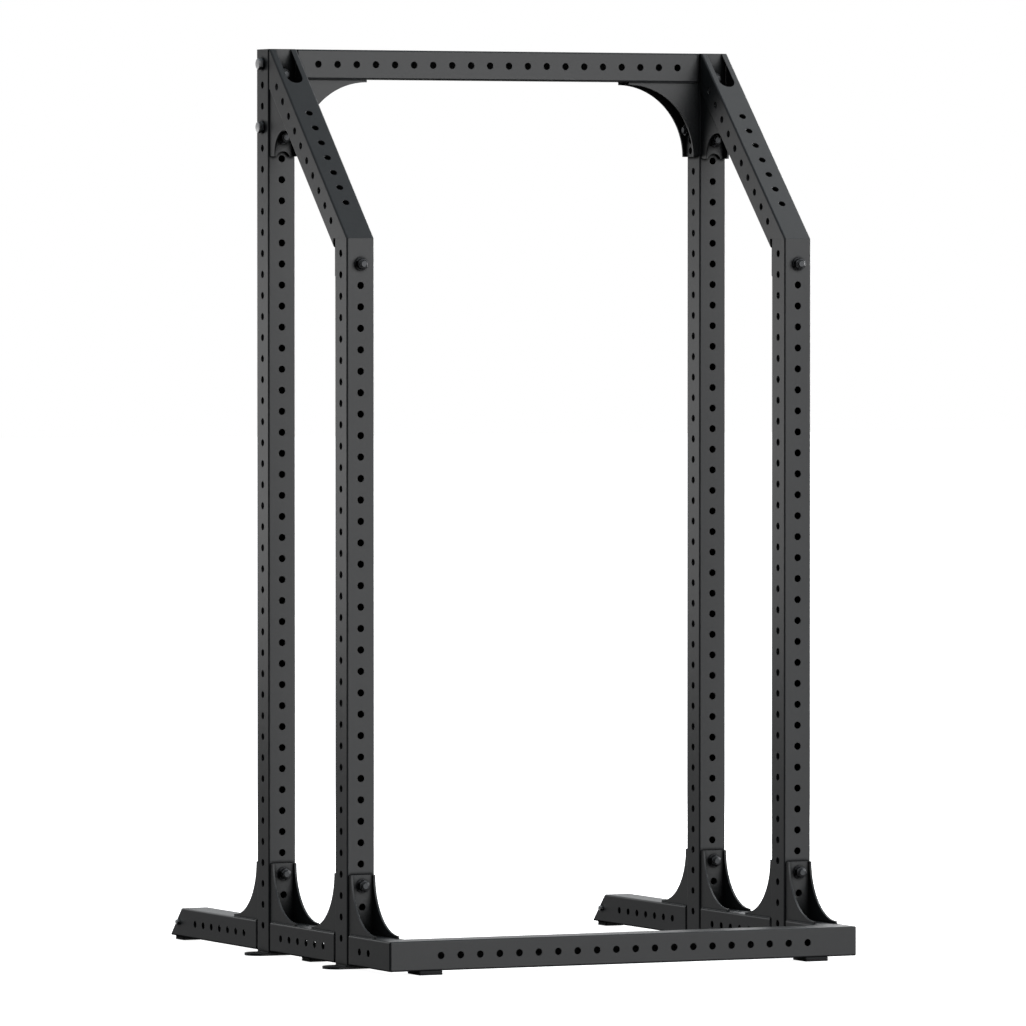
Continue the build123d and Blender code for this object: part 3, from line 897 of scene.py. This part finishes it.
class CAGE_OT_rubber_pads(bpy.types.Operator):
    """Model the moulded rubber pads under the base"""

    bl_idname = "cage.rubber_pads"
    bl_label = "Model the Rubber Pads"

    def execute(self, context):
        rubber = named_material(context, "black_rubber")
        edge = context.scene.cage_rubber.edge
        for node in ("front_cross_pads", "mid_rail_pads", "rear_foot_pads"):
            mesh = bmesh.new()
            for low, high in node_islands(node):
                self.pad(mesh, low, high, edge)
            name = node.replace("pads", "rubber_pads")
            finish_piece(mesh, name, [rubber], (node,))
        return {"FINISHED"}

    def pad(self, mesh, low, high, edge):
        """A block with rounded corners and rim, and a shallow groove round its wall."""
        corner = 4 * MM
        height = high.z - low.z
        groove = 0.8 * MM
        levels = [
            (edge, 0.0), (edge * 0.3, edge * 0.3), (0.0, edge), (0.0, height * 0.4),
            (groove, height * 0.46), (groove, height * 0.54), (0.0, height * 0.6),
            (0.0, height - edge), (edge * 0.3, height - edge * 0.3), (edge, height),
        ]
        rings = []
        for inset, z in levels:
            ring = []
            for index, (sx, sy) in enumerate(((1, 1), (-1, 1), (-1, -1), (1, -1))):
                cx = (high.x if sx > 0 else low.x) - sx * corner
                cy = (high.y if sy > 0 else low.y) - sy * corner
                for step in range(CORNER_STEPS + 1):
                    angle = math.pi / 2 * (index + step / CORNER_STEPS)
                    reach = corner - inset
                    point = (cx + reach * math.cos(angle), cy + reach * math.sin(angle), low.z + z)
                    ring.append(mesh.verts.new(point))
            rings.append(ring)
        for ring, following in zip(rings, rings[1:]):
            bridge(mesh, ring, following)
        mesh.faces.new(rings[0])
        mesh.faces.new(rings[-1])


class CAGE_OT_plastic_caps(bpy.types.Operator):
    """Give the moulded caps and plugs their plastic"""

    bl_idname = "cage.plastic_caps"
    bl_label = "Mould the Caps"

    def execute(self, context):
        plastic = named_material(context, "black_moulded_plastic")
        for node in ("upright_caps", "rear_foot_plugs"):
            data = frame["nodes"][node].data
            data.materials.clear()
            data.materials.append(plastic)
        return {"FINISHED"}


class CAGE_OT_stage(bpy.types.Operator):
    """Set the floor, the lights, the backdrop and the camera"""

    bl_idname = "cage.stage"
    bl_label = "Set the Stage"

    def execute(self, context):
        settings = context.scene.cage_stage
        self.floor(settings)
        self.lights(settings)
        self.backdrop(context.scene, settings)
        self.camera(context.scene, settings)
        context.scene.view_settings.view_transform = "Standard"
        return {"FINISHED"}

    def floor(self, settings):
        """A pale floor that lights nothing and takes no part in reflections."""
        mesh = bmesh.new()
        bmesh.ops.create_grid(mesh, x_segments=4, y_segments=4, size=FLOOR_REACH)
        data = bpy.data.meshes.new("studio_floor")
        mesh.to_mesh(data)
        mesh.free()
        material, tree, shader = new_material("pale_floor")
        tint(tree, shader, noise(tree, 0.4), shade(settings.floor, 0.995), settings.floor)
        shader.inputs["Roughness"].default_value = 0.9
        shader.inputs["Specular IOR Level"].default_value = 0.0
        shader.inputs["Emission Color"].default_value = (1.0, 1.0, 1.0, 1.0)
        shader.inputs["Emission Strength"].default_value = FLOOR_GLOW
        data.materials.append(material)
        floor = bpy.data.objects.new("studio_floor", data)
        bpy.context.scene.collection.objects.link(floor)
        floor.visible_diffuse = False
        floor.visible_glossy = False
        floor.visible_shadow = False

    def area(self, name, power, size, place, target):
        """A soft rectangular light at place, facing target."""
        light = bpy.data.lights.new(name, "AREA")
        light.shape = "RECTANGLE"
        light.size, light.size_y = size
        light.energy = power
        lamp = bpy.data.objects.new(name, light)
        lamp.location = place
        lamp.rotation_mode = "QUATERNION"
        lamp.rotation_quaternion = (Vector(target) - Vector(place)).to_track_quat("-Z", "Y")
        lamp.visible_camera = False
        bpy.context.scene.collection.objects.link(lamp)

    def lights(self, settings):
        """One area light for each row of the table, at the power set for it."""
        for name, size, place, target in LIGHTS:
            self.area(name, getattr(settings, name), size, place, target)

    def backdrop(self, scene, settings):
        """A white backdrop whose light on the cage comes from its horizons and from above."""
        world = bpy.data.worlds.new("studio_backdrop")
        scene.world = world
        world.use_nodes = True
        tree = world.node_tree
        tree.nodes.clear()
        output = tree.nodes.new("ShaderNodeOutputWorld")
        seen = tree.nodes.new("ShaderNodeBackground")
        mix = tree.nodes.new("ShaderNodeMixShader")
        path = tree.nodes.new("ShaderNodeLightPath")
        coordinates = tree.nodes.new("ShaderNodeTexCoord")
        parts = tree.nodes.new("ShaderNodeSeparateXYZ")
        tree.links.new(coordinates.outputs["Generated"], parts.inputs["Vector"])
        across, along, up = (parts.outputs[axis] for axis in "XYZ")
        not_low = spread(tree, up, 0.0, 1.0, *LOW_FADE)
        level = self.product(tree, not_low, spread(tree, up, 1.0, 0.0, *HIGH_FADE))
        rear = self.product(tree, level, spread(tree, along, 0.0, 1.0, *REAR_FADE))
        front = self.product(tree, level, spread(tree, along, 0.0, 1.0, *FRONT_FADE))
        to_left = spread(tree, across, 1.0, 0.0, *SIDE_FADE)
        to_right = spread(tree, across, 0.0, 1.0, *SIDE_FADE)
        overhead = spread(tree, up, 0.0, 1.0, *SKY_FADE)
        white = (1.0, 1.0, 1.0)
        glows = (
            ("rear_left_glow", settings.rear_left_glow, white, rear, to_left),
            ("rear_right_glow", settings.rear_right_glow, white, rear, to_right),
            ("front_glow", settings.front_glow, white, front, to_right),
            ("sky_glow", settings.sky_glow, (0.86, 0.95, 1.0), overhead, None),
        )
        total = None
        for name, strength, colour, share, limit in glows:
            if limit:
                share = self.product(tree, share, limit)
            glow = tree.nodes.new("ShaderNodeBackground")
            glow.name = name
            glow.inputs["Color"].default_value = (*colour, 1.0)
            scaled = self.product(tree, share, None, strength)
            scaled.node.name = name + "_strength"
            tree.links.new(scaled, glow.inputs["Strength"])
            if total:
                both = tree.nodes.new("ShaderNodeAddShader")
                tree.links.new(total, both.inputs[0])
                tree.links.new(glow.outputs["Background"], both.inputs[1])
                total = both.outputs["Shader"]
            else:
                total = glow.outputs["Background"]
        tree.links.new(path.outputs["Is Camera Ray"], mix.inputs["Fac"])
        tree.links.new(total, mix.inputs[1])
        tree.links.new(seen.outputs["Background"], mix.inputs[2])
        tree.links.new(mix.outputs["Shader"], output.inputs["Surface"])
        seen.inputs["Color"].default_value = (1, 1, 1, 1)

    def product(self, tree, value, other, number=1.0):
        """value times another value, or times a number."""
        node = tree.nodes.new("ShaderNodeMath")
        node.operation = "MULTIPLY"
        tree.links.new(value, node.inputs[0])
        if other:
            tree.links.new(other, node.inputs[1])
        else:
            node.inputs[1].default_value = number
        return node.outputs["Value"]

    def camera(self, scene, settings):
        """A long lens at the chosen place, facing along the chosen angles."""
        data = bpy.data.cameras.new("camera")
        data.lens = settings.lens
        data.sensor_width = 36.0
        data.clip_end = 200.0
        camera = bpy.data.objects.new("camera", data)
        turn, tilt = settings.azimuth, settings.elevation
        back = Vector((
            math.sin(turn) * math.cos(tilt), -math.cos(turn) * math.cos(tilt), math.sin(tilt)
        ))
        camera.location = settings.place
        camera.rotation_mode = "QUATERNION"
        camera.rotation_quaternion = (-back).to_track_quat("-Z", "Y")
        scene.collection.objects.link(camera)
        scene.camera = camera


class CAGE_PT_panel(bpy.types.Panel):
    """Lists the cage's settings and steps"""

    bl_label = "Power Cage"
    bl_space_type = "VIEW_3D"
    bl_region_type = "UI"
    bl_category = "Power Cage"

    def draw(self, context):
        layout = self.layout
        for name, group in SETTINGS.items():
            box = layout.box()
            for field in group.__annotations__:
                box.prop(getattr(context.scene, name), field)
        for operator in OPERATORS:
            layout.operator(operator.bl_idname)


OPERATORS = (
    CAGE_OT_stage,
    CAGE_OT_powder_coat,
    CAGE_OT_weld_seams,
    CAGE_OT_bolts,
    CAGE_OT_lock_nuts,
    CAGE_OT_washers,
    CAGE_OT_plug_screws,
    CAGE_OT_rubber_pads,
    CAGE_OT_plastic_caps,
)


def register():
    for name, group in SETTINGS.items():
        bpy.utils.register_class(group)
        setattr(bpy.types.Scene, name, PointerProperty(type=group))
    for operator in OPERATORS:
        bpy.utils.register_class(operator)
    bpy.utils.register_class(CAGE_PT_panel)


def unregister():
    bpy.utils.unregister_class(CAGE_PT_panel)
    for operator in reversed(OPERATORS):
        bpy.utils.unregister_class(operator)
    for name, group in SETTINGS.items():
        delattr(bpy.types.Scene, name)
        bpy.utils.unregister_class(group)


def main():
    register()
    for operator in OPERATORS:
        prefix, name = operator.bl_idname.split(".")
        getattr(getattr(bpy.ops, prefix), name)()


if __name__ == "__main__":
    main()
